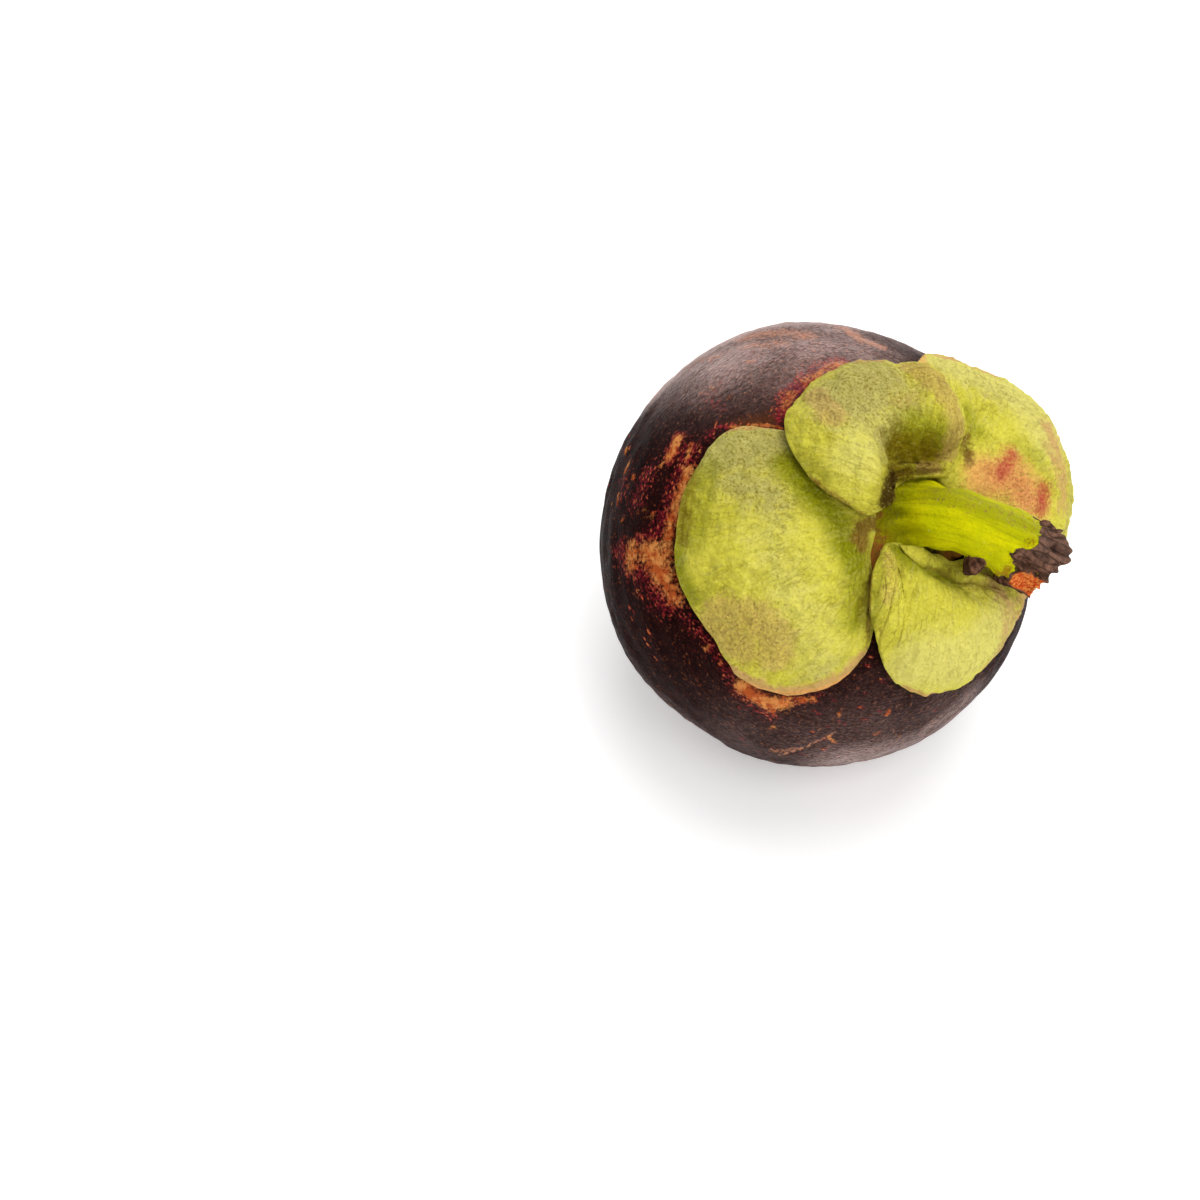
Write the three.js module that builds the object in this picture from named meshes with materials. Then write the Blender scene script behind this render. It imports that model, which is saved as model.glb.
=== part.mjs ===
// A whole mangosteen, picked with its stem and leaning over on its round side.
//
// Units are millimetres and +Z is up. The origin lies on the small flat spot that the fruit rests on, right under
// the fruit's centre.
// Every piece is modelled in the fruit's own frame: the fruit's centre at 0, 0, 0, the stem end along +Z and
// azimuth 0 along +X. Nested groups then lean the whole fruit over and stand it on its flat spot.
//
// A place on the fruit is given as x, y millimetres along the skin from the middle of the stem end, x towards
// azimuth 0 and y towards azimuth 90.

import * as THREE from "three";
import { mergeVertices } from "three/addons/utils/BufferGeometryUtils.js";

// ---------- Driving dimensions, in millimetres and degrees ----------

// How the fruit lies: its axis leans away from upright by tilt, towards the azimuth heading.
const lie = {
  tilt: 40.8,
  heading: -49.5,
  height: 26.85, // from the fruit's centre down to the flat spot
};

const rindSize = {
  radius: 30, // at the widest circle
  stemEnd: 25, // from the centre to the stem end
  tipEnd: 25.5, // from the centre to the far end
  fullness: 2.05, // 2 is an ellipsoid, and more has fuller shoulders
  dimple: 1.2, // depth of the hollow that the stem grows from
  dimpleReach: 8,
  lumps: 0.25,
  facets: 12,
};

// The flat spot that the fruit rests on. It meets the table at four corners, and its edge is a hair higher.
const flatSpot = {
  middle: [1.1, -1.4], // on the table, from under the fruit's centre
  corner: 7, // from the middle to each corner
  turn: 45, // azimuth of the first corner
  hair: 0.13,
};

const skinGap = 0.2; // clearance between pieces that touch

// outline is how far a sepal reaches from its middle towards 0, 30, 60 ... 330 degrees.
// rise is how far the middle swells away from the skin, and bumps are [x, y, height, spread].
const sepalSizes = {
  sepal_inner_left: {
    middle: [-17, -8],
    outline: [11, 13, 15, 16.8, 19, 17.8, 16.6, 16.4, 16.8, 21.2, 21.5, 15.3],
    thickness: 1.8,
    rise: 1.4,
    puff: 3,
    bumps: [
      [-8, -5, -1.2, 4],
      [-23, -9, 0.5, 6],
      [-11, -20, 0.6, 5],
    ],
  },
  sepal_inner_right: {
    middle: [16, 10],
    outline: [16.5, 15, 16.5, 20, 21.5, 19, 14, 13, 10.5, 12, 17.5, 18.2],
    thickness: 1.8,
    rise: 1.2,
    puff: 3,
    bumps: [
      [9, 0, -1.5, 5],
      [29, 13, 4, 12],
      [24, 25, 3, 9],
    ],
  },
  sepal_outer_top: {
    middle: [-5.5, 9.5],
    outline: [10.5, 11.8, 13, 13, 13, 13.4, 14.8, 14, 12.6, 10, 8, 10],
    thickness: 2.2,
    rise: 4.2,
    puff: 4,
    bumps: [
      [1.5, 4.5, -4.6, 5],
      [-8, 2, 1, 4],
    ],
  },
  sepal_outer_bottom: {
    middle: [7, -12],
    outline: [13.2, 14.5, 9, 6.5, 9.5, 12.5, 12.8, 12, 12.2, 13, 13, 13.2],
    thickness: 2.2,
    rise: 3.8,
    puff: 4,
    bumps: [
      [6, -5, -4, 5],
      [14, -5, -2.5, 4],
    ],
  },
};

// The inner pair lies on the skin and the outer pair drapes over its edges.
const innerSepals = [sepalSizes.sepal_inner_left, sepalSizes.sepal_inner_right];
const outerSepals = [sepalSizes.sepal_outer_top, sepalSizes.sepal_outer_bottom];

// The stem's centre line starts in the dimple, rises, and bends over sideways.
const stemSize = {
  path: [
    [1.5, 0, 23.4],
    [0, -0.5, 33],
    [7, -2, 33.5],
    [16.7, -3.4, 29.8],
  ],
  footRadius: 4.6,
  footClearance: 1.25,
  waist: 3.9,
  endRadius: 4.8,
  sides: 20,
  steps: 18,
};

// A dead bud's scar low on the stem's side, at a fraction t of its length.
const nubSize = {
  t: 0.56,
  angle: -2,
  height: 1.5,
};

const stigmaSize = {
  lobes: 7,
  radius: 6.5,
  thickness: 1.4,
};

// ---------- Finish of each piece ----------

const rindSkin = new THREE.MeshStandardMaterial({ color: 0x2a161c, roughness: 0.5, metalness: 0 });
const sepalSkin = new THREE.MeshStandardMaterial({ color: 0xa9ac3c, roughness: 0.65, metalness: 0 });
const stemSkin = new THREE.MeshStandardMaterial({ color: 0x93a81f, roughness: 0.5, metalness: 0 });
const stigmaSkin = new THREE.MeshStandardMaterial({ color: 0x4d3426, roughness: 0.8, metalness: 0 });

// ---------- Helpers ----------

const radians = THREE.MathUtils.degToRad;
const smoothstep = THREE.MathUtils.smoothstep;

// Merges a primitive's shared points, so that it closes, and moves each one.
function shaped(primitive, move) {
  primitive.deleteAttribute("normal");
  primitive.deleteAttribute("uv");
  const closed = mergeVertices(primitive, 1e-5);
  const places = closed.getAttribute("position");
  const place = new THREE.Vector3();
  for (let i = 0; i < places.count; i++) {
    const moved = move(place.fromBufferAttribute(places, i));
    places.setXYZ(i, moved.x, moved.y, moved.z);
  }
  closed.computeVertexNormals();
  return closed;
}

// The direction out of the fruit's centre for a place on the skin.
function directionAt(x, y) {
  const polar = Math.hypot(x, y) / rindSize.radius;
  const azimuth = Math.atan2(y, x);
  return new THREE.Vector3(
    Math.sin(polar) * Math.cos(azimuth),
    Math.sin(polar) * Math.sin(azimuth),
    Math.cos(polar),
  );
}

// Keeps a number above 0, with a soft turn near it.
const keptPositive = (value) => (value + Math.hypot(value, 0.4)) / 2;

// ---------- Rind ----------

// The skin's point in a direction: a full-shouldered spheroid with faint lumps and a dimple for the stem.
function skinPoint(direction) {
  const { radius, stemEnd, tipEnd, fullness, dimple, dimpleReach, lumps } = rindSize;
  const across = Math.hypot(direction.x, direction.y);
  const end = direction.z > 0 ? stemEnd : tipEnd;
  const sum = (across / radius) ** fullness + (Math.abs(direction.z) / end) ** fullness;
  const fromStem = Math.atan2(across, direction.z) * radius;
  const { x, y, z } = direction;
  const lump = Math.sin(3 * x + 2 * z + 1) * Math.sin(4 * y - 2 * z) + 0.5 * Math.sin(7 * x - 3 * y + 5 * z);
  const reach = sum ** (-1 / fullness) - dimple * Math.exp(-((fromStem / dimpleReach) ** 2)) + lumps * lump;
  return direction.clone().multiplyScalar(reach);
}

// The skin's outward normal in a direction, from two points close by.
function skinNormal(direction) {
  const step = 1e-3;
  const side = new THREE.Vector3(-direction.y, direction.x, 0);
  if (side.length() < 1e-6) side.set(1, 0, 0);
  side.normalize();
  const up = new THREE.Vector3().crossVectors(direction, side);
  const near = (way) => skinPoint(direction.clone().addScaledVector(way, step).normalize());
  const here = skinPoint(direction);
  return near(side).sub(here).cross(near(up).sub(here)).normalize();
}

// Turns a place around the fruit's centre, as the world sees it, into the fruit's own frame.
function inFruit(x, y, z) {
  const heading = radians(lie.heading);
  const axis = new THREE.Vector3(-Math.sin(heading), Math.cos(heading), 0);
  return new THREE.Vector3(x, y, z).applyAxisAngle(axis, -radians(lie.tilt));
}

// Moves a shape's nearest point to a place.
function pinNearest(geometry, place) {
  const places = geometry.getAttribute("position");
  const distances = Array.from({ length: places.count }, (_, i) =>
    new THREE.Vector3().fromBufferAttribute(places, i).distanceTo(place),
  );
  const nearest = distances.indexOf(Math.min(...distances));
  places.setXYZ(nearest, place.x, place.y, place.z);
}

function rindGeometry() {
  const up = inFruit(0, 0, 1);
  const [middleX, middleY] = flatSpot.middle;
  const middle = inFruit(middleX, middleY, -lie.height);
  const rind = shaped(new THREE.IcosahedronGeometry(1, rindSize.facets), (direction) => {
    const point = skinPoint(direction.normalize());
    const hair = flatSpot.hair * smoothstep(point.distanceTo(middle), 0.4 * flatSpot.corner, flatSpot.corner);
    const below = hair - lie.height - point.dot(up);
    return below > 0 ? point.addScaledVector(up, below) : point;
  });
  for (let quarter = 0; quarter < 4; quarter++) {
    const angle = radians(flatSpot.turn + 90 * quarter);
    const cornerX = middleX + flatSpot.corner * Math.cos(angle);
    const cornerY = middleY + flatSpot.corner * Math.sin(angle);
    pinNearest(rind, inFruit(cornerX, cornerY, -lie.height));
  }
  return rind;
}

// ---------- Sepals ----------

// How far a sepal reaches from its middle towards an angle: a smooth curve through its outline's values.
function outlineReach(sepal, angle) {
  const count = sepal.outline.length;
  const place = ((angle / (2 * Math.PI)) * count + count) % count;
  const first = Math.floor(place);
  const t = place - first;
  const [before, here, next, after] = [-1, 0, 1, 2].map((i) => sepal.outline[(first + i + count) % count]);
  const slopeHere = (next - before) / 2;
  const slopeNext = (after - here) / 2;
  const curve = 3 * (next - here) - 2 * slopeHere - slopeNext;
  const twist = slopeHere + slopeNext - 2 * (next - here);
  return here + t * (slopeHere + t * (curve + t * twist));
}

// 0 in a sepal's middle and 1 all along its outline.
function rimwardAt(sepal, x, y) {
  const dx = x - sepal.middle[0];
  const dy = y - sepal.middle[1];
  return Math.hypot(dx, dy) / outlineReach(sepal, Math.atan2(dy, dx));
}

// How far a sepal's own swelling lifts it at a place.
function swelling(sepal, x, y) {
  let height = sepal.rise * (1 - rimwardAt(sepal, x, y) ** sepal.puff);
  for (const [bx, by, rise, spread] of sepal.bumps)
    height += rise * Math.exp(-((x - bx) ** 2 + (y - by) ** 2) / spread ** 2);
  return keptPositive(height);
}

// The middle of a sepal's thickness over a place, above the skin and, for the outer pair, above the inner pair.
function sepalMiddle(sepal, x, y) {
  let height = skinGap + sepal.thickness / 2 + swelling(sepal, x, y);
  if (outerSepals.includes(sepal))
    for (const inner of innerSepals) {
      const cover = 1 - smoothstep(rimwardAt(inner, x, y), 1, 1.25);
      height += cover * (skinGap + inner.thickness + swelling(inner, x, y));
    }
  const direction = directionAt(x, y);
  return skinPoint(direction).addScaledVector(skinNormal(direction), height);
}

// Opens a round hole in the sepals for the stem's foot, by moving places near it outwards.
function clearOfStem(x, y) {
  const [footX, footY] = stemSize.path[0];
  const hole = stemSize.footRadius + stemSize.footClearance;
  const fromFoot = Math.hypot(x - footX, y - footY) + 1e-9;
  const opened = (fromFoot ** 4 + hole ** 4) ** 0.25 / fromFoot;
  return [footX + (x - footX) * opened, footY + (y - footY) * opened];
}

function sepalGeometry(sepal) {
  const step = 1e-3;
  return shaped(new THREE.SphereGeometry(1, 32, 18), (point) => {
    // Seen from the stem end the ball is a disc, which is stretched to the sepal's outline.
    const angle = Math.atan2(-point.z, point.x);
    const reach = Math.hypot(point.x, point.z) * outlineReach(sepal, angle);
    const [x, y] = clearOfStem(
      sepal.middle[0] + reach * Math.cos(angle),
      sepal.middle[1] + reach * Math.sin(angle),
    );
    const alongX = sepalMiddle(sepal, x + step, y).sub(sepalMiddle(sepal, x - step, y));
    const alongY = sepalMiddle(sepal, x, y + step).sub(sepalMiddle(sepal, x, y - step));
    const outward = alongX.cross(alongY).normalize();
    const side = Math.sign(point.y) * Math.sqrt(Math.abs(point.y));
    return sepalMiddle(sepal, x, y).addScaledVector(outward, (side * sepal.thickness) / 2);
  });
}

// ---------- Stem ----------

// The stem's radius, t from 0 at its foot to 1 at its torn end. angle 0 is its upper side.
function stemRadius(t, angle) {
  const { footRadius, waist, endRadius } = stemSize;
  const foot = (footRadius - waist) * Math.exp(-t / 0.1);
  const end = (endRadius - waist) * smoothstep(t, 0.6, 0.95);
  const nub = nubSize.height * Math.exp(-(((t - nubSize.t) / 0.06) ** 2) - ((angle - nubSize.angle) / 0.4) ** 2);
  return waist + foot + end + nub;
}

function stemGeometry() {
  const curve = new THREE.CubicBezierCurve3(...stemSize.path.map((place) => new THREE.Vector3(...place)));
  const end = stemSize.path[3];
  const sideways = new THREE.Vector3(-end[1], end[0], 0).normalize();
  const tube = new THREE.CylinderGeometry(1, 1, 1, stemSize.sides, stemSize.steps);
  return shaped(tube, ({ x, y, z }) => {
    const t = y + 0.5;
    const tangent = curve.getTangent(t);
    const upward = new THREE.Vector3().crossVectors(tangent, sideways).normalize();
    const angle = Math.atan2(z, x);
    const radius = stemRadius(t, angle);
    const torn = t > 0.99 ? 0.9 * Math.sin(3 * angle + 1) + 0.5 * Math.sin(7 * angle) : 0;
    const point = curve
      .getPoint(t)
      .addScaledVector(tangent, torn)
      .addScaledVector(upward, x * radius)
      .addScaledVector(sideways, z * radius);
    const skin = skinPoint(point.clone().normalize()).length() + 1.5 * skinGap;
    return point.length() < skin ? point.setLength(skin) : point;
  });
}

// ---------- Stigma rosette ----------

// The flower's woody remnant: a thin round plate with one lobe for each segment, flat on the far end.
function stigmaGeometry() {
  const { lobes, radius, thickness } = stigmaSize;
  return shaped(new THREE.SphereGeometry(1, 42, 10), (point) => {
    const angle = Math.atan2(point.z, point.x);
    const lobe = 0.76 + 0.24 * Math.abs(Math.cos((lobes * angle) / 2)) ** 0.7;
    const reach = Math.hypot(point.x, point.z) * radius * lobe;
    const direction = directionAt(reach * Math.cos(angle), reach * Math.sin(angle));
    direction.z *= -1;
    const side = Math.sign(point.y) * Math.sqrt(Math.abs(point.y));
    const height = skinGap + (thickness / 2) * (1 + side);
    return skinPoint(direction).addScaledVector(skinNormal(direction), height);
  });
}

// ---------- Assembly ----------

const fruit = new THREE.Group();

function add(name, geometry, material) {
  const mesh = new THREE.Mesh(geometry, material);
  mesh.name = name;
  fruit.add(mesh);
}

add("rind", rindGeometry(), rindSkin);
for (const [name, sepal] of Object.entries(sepalSizes)) add(name, sepalGeometry(sepal), sepalSkin);
add("stem", stemGeometry(), stemSkin);
add("stigma_rosette", stigmaGeometry(), stigmaSkin);

// Turning back by the heading first keeps azimuth 0 near +X once the fruit leans over.
fruit.rotation.z = -radians(lie.heading);
const leaning = new THREE.Group();
leaning.rotation.y = radians(lie.tilt);
leaning.add(fruit);
const mangosteen = new THREE.Group();
mangosteen.rotation.z = radians(lie.heading);
mangosteen.position.set(0, 0, lie.height);
mangosteen.add(leaning);

export default mangosteen;
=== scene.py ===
from math import pi, radians

import bpy
import numpy as np
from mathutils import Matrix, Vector


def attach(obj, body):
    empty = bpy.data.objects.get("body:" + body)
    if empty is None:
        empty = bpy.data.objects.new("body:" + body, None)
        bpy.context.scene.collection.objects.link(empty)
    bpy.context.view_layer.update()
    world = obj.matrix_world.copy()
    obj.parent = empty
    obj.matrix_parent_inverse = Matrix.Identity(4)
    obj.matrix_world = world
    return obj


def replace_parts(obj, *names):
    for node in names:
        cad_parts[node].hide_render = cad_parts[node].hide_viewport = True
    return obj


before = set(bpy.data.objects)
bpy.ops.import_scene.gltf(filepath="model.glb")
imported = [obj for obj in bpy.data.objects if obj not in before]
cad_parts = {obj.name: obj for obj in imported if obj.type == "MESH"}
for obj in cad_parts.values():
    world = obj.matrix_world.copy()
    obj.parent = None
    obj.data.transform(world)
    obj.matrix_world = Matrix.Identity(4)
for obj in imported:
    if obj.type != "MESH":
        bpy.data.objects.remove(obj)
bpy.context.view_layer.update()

# Lengths are in millimetres in the fruit's own frame: its centre at 0, 0, 0 and the stem end along +Z.
# A place on the fruit is x, y millimetres along the skin from the middle of the stem end.

lie = dict(tilt=40.8, heading=-49.5, height=26.85)  # how the fruit leans, and its centre above the table

rind = dict(
    radius=30, stemEnd=25, tipEnd=25.5, fullness=2.05,
    dimple=1.2, dimpleReach=8, lumps=0.25,
    dustyFrom=48, dustyBy=66, dustAndSheen=0.5,  # bloom on the far side: its start, full reach and strength
    clearance=0.02,  # between the flat spot and the table
    rows=216, columns=448,
)

skinGap = 0.2  # clearance between pieces that touch


# 0 under low, 1 over high, and 3t² - 2t³ between them.
def smoothstep(value, low, high):
    t = np.clip((value - low) / (high - low), 0, 1)
    return t * t * (3 - 2 * t)


# exp(-(distance / spread)²)
def bell(distance, spread):
    return np.exp(-((distance / spread) ** 2))


# How far an angle is turned from a bearing, between -pi and pi.
def turnFrom(angle, bearing):
    return (angle - bearing + pi) % (2 * pi) - pi


# Smooth random field about as wide as size: sine waves in seeded directions, added up. Its spread is about 1.
def waves(places, size, seed, count=14):
    draw = np.random.default_rng(seed)
    ways = draw.normal(size=(count, places.shape[-1]))
    ways *= (2 * pi / size * draw.uniform(0.6, 1.5, count) / np.linalg.norm(ways, axis=1))[:, None]
    phases = draw.uniform(0, 2 * pi, count)
    total = np.zeros(places.shape[:-1])
    for way, phase in zip(ways, phases):
        total += np.sin(places @ way + phase)
    return total * (2 / count) ** 0.5


# Distance from places to the line through points: the shortest of the distances to its stretches.
def fromLine(x, y, points):
    nearest = np.hypot(x - points[0][0], y - points[0][1])
    for (ax, ay), (bx, by) in zip(points[:-1], points[1:]):
        dx, dy = bx - ax, by - ay
        along = np.clip(((x - ax) * dx + (y - ay) * dy) / (dx * dx + dy * dy), 0, 1)
        nearest = np.minimum(nearest, np.hypot(x - ax - along * dx, y - ay - along * dy))
    return nearest


# Soft strokes, each strength, spread and the line it runs along; where strokes meet, the stronger one counts.
def strokes(x, y, listed):
    total = np.zeros(np.broadcast(x, y).shape)
    for strength, spread, points in listed:
        total = np.maximum(total, strength * bell(fromLine(x, y, points), spread))
    return total


# Wrinkles that run roughly along each stroke: thin lines where a smooth random field, drawn out along the
# stroke's chord, passes through 0.
def wrinkles(x, y, listed, size, seed):
    total = np.zeros(np.broadcast(x, y).shape)
    for strength, spread, points in listed:
        chordX, chordY = points[-1][0] - points[0][0], points[-1][1] - points[0][1]
        long = np.hypot(chordX, chordY)
        along, across = (x * chordX + y * chordY) / long, (y * chordX - x * chordY) / long
        lines = bell(waves(np.stack([across, 0.22 * along], -1), size, seed), 0.24)
        total = np.maximum(total, strength * bell(fromLine(x, y, points), spread) * lines)
    return total


# The fruit leans by turning about a level axis (Rodrigues' formula), and then moves up and into metres.
def toWorld(points):
    heading, tilt = radians(lie["heading"]), radians(lie["tilt"])
    axis = np.array([-np.sin(heading), np.cos(heading), 0])
    turned = (points * np.cos(tilt) + np.cross(axis, points) * np.sin(tilt)
              + axis * (points @ axis)[..., None] * (1 - np.cos(tilt)))
    turned[..., 2] += lie["height"]
    return turned / 1000


# Unit direction for a place: polar angle = distance / radius, azimuth = its bearing.
def directionAt(x, y):
    polar = np.hypot(x, y) / rind["radius"]
    azimuth = np.arctan2(y, x)
    return np.stack([np.sin(polar) * np.cos(azimuth), np.sin(polar) * np.sin(azimuth), np.cos(polar)], -1)


# Full-shouldered spheroid, (across / radius)^f + (up / end)^f = 1, less a bell for the dimple, plus lumps.
def skinReach(direction):
    x, y, z = np.moveaxis(direction, -1, 0)
    across = np.hypot(x, y)
    end = np.where(z > 0, rind["stemEnd"], rind["tipEnd"])
    full = rind["fullness"]
    total = (across / rind["radius"]) ** full + (np.abs(z) / end) ** full
    fromStem = np.arctan2(across, z) * rind["radius"]
    lump = np.sin(3 * x + 2 * z + 1) * np.sin(4 * y - 2 * z) + 0.5 * np.sin(7 * x - 3 * y + 5 * z)
    return total ** (-1 / full) - rind["dimple"] * bell(fromStem, rind["dimpleReach"]) + rind["lumps"] * lump


# Place on the skin: the direction times its reach.
def skinPoint(direction):
    return direction * skinReach(direction)[..., None]


# Outward normal: the cross product of two short steps along the skin.
def skinNormal(direction):
    step = 1e-3
    side = np.stack([-direction[..., 1], direction[..., 0], np.full(direction.shape[:-1], 1e-9)], -1)
    side /= np.linalg.norm(side, axis=-1, keepdims=True)
    up = np.cross(direction, side)
    here = skinPoint(direction)

    def near(way):
        moved = direction + way * step
        return skinPoint(moved / np.linalg.norm(moved, axis=-1, keepdims=True)) - here

    normal = np.cross(near(side), near(up))
    return normal / np.linalg.norm(normal, axis=-1, keepdims=True)


# Closed grid: rows run from pole to pole, columns wrap, and each pole is one vertex.
# marks are values at each vertex.
def closedGrid(name, points, marks, material):
    rows, columns = points.shape[:2]

    def flat(values):
        width = values.shape[2:]
        return np.concatenate([values[0, :1], values[1:-1].reshape(-1, *width), values[-1, :1]])

    places = flat(toWorld(points))
    count = len(places)
    ring = 1 + np.arange((rows - 2) * columns).reshape(rows - 2, columns)
    onward = np.roll(ring, -1, axis=1)
    quads = np.stack([ring[:-1], ring[1:], onward[1:], onward[:-1]], -1).reshape(-1, 4)
    firstCap = np.stack([np.zeros(columns, int), ring[0], onward[0]], -1)
    lastCap = np.stack([np.full(columns, count - 1), onward[-1], ring[-1]], -1)
    triangles = np.concatenate([quads[:, [0, 1, 2]], quads[:, [0, 2, 3]], firstCap, lastCap])
    a, b, c = (places[triangles[:, i]] for i in range(3))
    if (np.cross(a, b) * c).sum() < 0:  # signed volume: turn every face if it is inside out
        quads, firstCap, lastCap = quads[:, ::-1], firstCap[:, ::-1], lastCap[:, ::-1]
    mesh = bpy.data.meshes.new(name)
    mesh.from_pydata(places, [], [*quads.tolist(), *firstCap.tolist(), *lastCap.tolist()])
    mesh.polygons.foreach_set("use_smooth", np.ones(len(mesh.polygons), bool))
    for mark, values in marks.items():
        vector = values.ndim == 3
        attribute = mesh.attributes.new(mark, "FLOAT_VECTOR" if vector else "FLOAT", "POINT")
        attribute.data.foreach_set("vector" if vector else "value", flat(values).astype(np.float32).ravel())
    mesh.materials.append(material)
    piece = bpy.data.objects.new(name, mesh)
    bpy.context.scene.collection.objects.link(piece)
    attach(piece, "root")
    print(name, len(triangles), "triangles")
    return piece


# Colour from 0 to 255 as a screen shows it, turned into the linear values that a shader takes.
def colour(red, green, blue):
    shares = np.array([red, green, blue]) / 255
    linear = np.where(shares < 0.04045, shares / 12.92, ((shares + 0.055) / 1.055) ** 2.4)
    return (*linear, 1)


# A material's node tree and one-line ways to add to it. where is a coordinate in millimetres.
class Finish:
    def __init__(self, name, colours=None, **settings):
        self.colours = colours
        self.material = bpy.data.materials.new(name)
        self.material.use_nodes = True
        self.tree = self.material.node_tree
        self.shader = self.tree.nodes["Principled BSDF"]
        for label, value in settings.items():
            self.shader.inputs[label.replace("_", " ")].default_value = value

    def add(self, kind, inputs, **settings):
        made = self.tree.nodes.new("ShaderNode" + kind)
        for label, value in settings.items():
            setattr(made, label, value)
        for label, value in inputs.items():
            if isinstance(value, bpy.types.NodeSocket):
                self.tree.links.new(value, made.inputs[label])
            else:
                made.inputs[label].default_value = value
        return made

    def mark(self, name, output="Fac"):
        return self.add("Attribute", {}, attribute_name=name).outputs[output]

    def stretched(self, where, stretch):
        return self.add("Mapping", {"Vector": where, "Scale": stretch}).outputs["Vector"]

    def inMillimetres(self):
        return self.stretched(self.add("TexCoord", {}).outputs["Object"], (1000, 1000, 1000))

    def noise(self, where, size, detail=4, roughness=0.55):
        values = {"Vector": where, "Scale": 1 / size, "Detail": detail, "Roughness": roughness}
        return self.add("TexNoise", values).outputs[0]

    def cells(self, where, size, feature="F1"):
        values = {"Vector": where, "Scale": 1 / size, "Randomness": 1}
        return self.add("TexVoronoi", values, feature=feature).outputs["Distance"]

    def maths(self, operation, a, b=0.5, clamp=False):
        return self.add("Math", {0: a, 1: b}, operation=operation, use_clamp=clamp).outputs[0]

    def times(self, a, b, clamp=False):
        return self.maths("MULTIPLY", a, b, clamp)

    # 0 where value is under low, 1 over high, and a soft step between.
    def step(self, value, low, high, least=0, most=1):
        values = {"Value": value, "From Min": low, "From Max": high, "To Min": least, "To Max": most}
        return self.add("MapRange", values, interpolation_type="SMOOTHSTEP").outputs[0]

    # A mark whose edge is broken up by noise.
    def broken(self, name, noise, gain, low, high, most=1):
        loose = self.times(self.maths("SUBTRACT", noise, 0.5), gain)
        return self.step(self.maths("ADD", self.mark(name), loose), low, high, 0, most)

    # a and b are sockets, or names of the finish's own colours.
    def mix(self, share, a, b, blend="MIX"):
        a, b = (colour(*self.colours[side]) if isinstance(side, str) else side for side in (a, b))
        made = self.add("Mix", {0: share, 6: a, 7: b}, data_type="RGBA", blend_type=blend, clamp_factor=True)
        return made.outputs[2]

    def bump(self, height, depth, normal=None):
        values = {"Height": height, "Distance": depth / 1000, "Strength": 1}
        if normal is not None:
            values["Normal"] = normal
        return self.add("Bump", values).outputs["Normal"]

    def wear(self, **sockets):
        for label, value in sockets.items():
            self.tree.links.new(value, self.shader.inputs[label.replace("_", " ")])
        return self.material


view = dict(place=(-0.02926, -0.30675, 0.35619), pitch=42, lens=99.9, sensorWidth=36)

camera = bpy.data.objects.new("camera", bpy.data.cameras.new("camera"))
bpy.context.scene.collection.objects.link(camera)
camera.location = view["place"]
camera.rotation_euler = (radians(view["pitch"]), 0, 0)
camera.data.lens = view["lens"]
camera.data.sensor_width = view["sensorWidth"]
bpy.context.scene.camera = camera

bpy.context.scene.view_settings.view_transform = "Standard"

# Each softbox: place, what it points at, width, height, watts.
softboxes = dict(
    overhead=((0.12, 0.15, 0.85), (0, 0, 0.03), 0.6, 0.6, 4.4),
    front=((0.20, -0.50, 0.60), (0, 0, 0.03), 0.5, 0.5, 2.9),
    backdrop=((0, 0.85, 0.22), (0, 0, 0.03), 1.0, 0.35, 2.6),
)


# Rectangular area light, turned so that it faces its target.
def addSoftbox(name, place, target, width, height, watts):
    light = bpy.data.lights.new(name, "AREA")
    light.shape = "RECTANGLE"
    light.size, light.size_y, light.energy = width, height, watts
    lamp = bpy.data.objects.new(name, light)
    lamp.location = place
    lamp.rotation_euler = (Vector(target) - Vector(place)).to_track_quat("-Z", "Y").to_euler()
    bpy.context.scene.collection.objects.link(lamp)


for name, values in softboxes.items():
    addSoftbox(name, *values)


surroundings = {"From Min": -0.9, "From Max": 0.1, "To Min": 0.1, "To Max": 0.5}  # sideways, then strength


# Even white surroundings, with a dark screen on the left.
def addWorld():
    world = bpy.data.worlds.new("studio")
    bpy.context.scene.world = world
    world.use_nodes = True
    nodes, links = world.node_tree.nodes, world.node_tree.links
    way = nodes.new("ShaderNodeSeparateXYZ")
    links.new(nodes.new("ShaderNodeTexCoord").outputs["Generated"], way.inputs[0])
    strength = nodes.new("ShaderNodeMapRange")
    strength.interpolation_type = "SMOOTHSTEP"
    for label, value in surroundings.items():
        strength.inputs[label].default_value = value
    links.new(way.outputs["X"], strength.inputs["Value"])
    nodes["Background"].inputs["Color"].default_value = (1, 1, 1, 1)
    links.new(strength.outputs[0], nodes["Background"].inputs["Strength"])


addWorld()


table = dict(half=2, white=0.92, glow=0.31)


# Flat square at height 0 with a fine grain.
def addFloor():
    white, half = table["white"], table["half"]
    finish = Finish("whiteTable", Base_Color=(white, white, white, 1), Roughness=0.9,
                    Emission_Color=(1, 1, 1, 1), Emission_Strength=table["glow"])
    grain = finish.noise(finish.inMillimetres(), 3)
    finish.wear(Normal=finish.bump(grain, 0.005))
    mesh = bpy.data.meshes.new("floor")
    corners = [(-half, -half, 0), (half, -half, 0), (half, half, 0), (-half, half, 0)]
    mesh.from_pydata(corners, [], [(0, 1, 2, 3)])
    mesh.materials.append(finish.material)
    floor = bpy.data.objects.new("floor", mesh)
    bpy.context.scene.collection.objects.link(floor)


addFloor()
print("camera, light and floor")


scratchLine = [(-4.9, -44.4), (-3, -41.2), (-1.7, -38.8), (-0.1, -35.6)]

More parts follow.
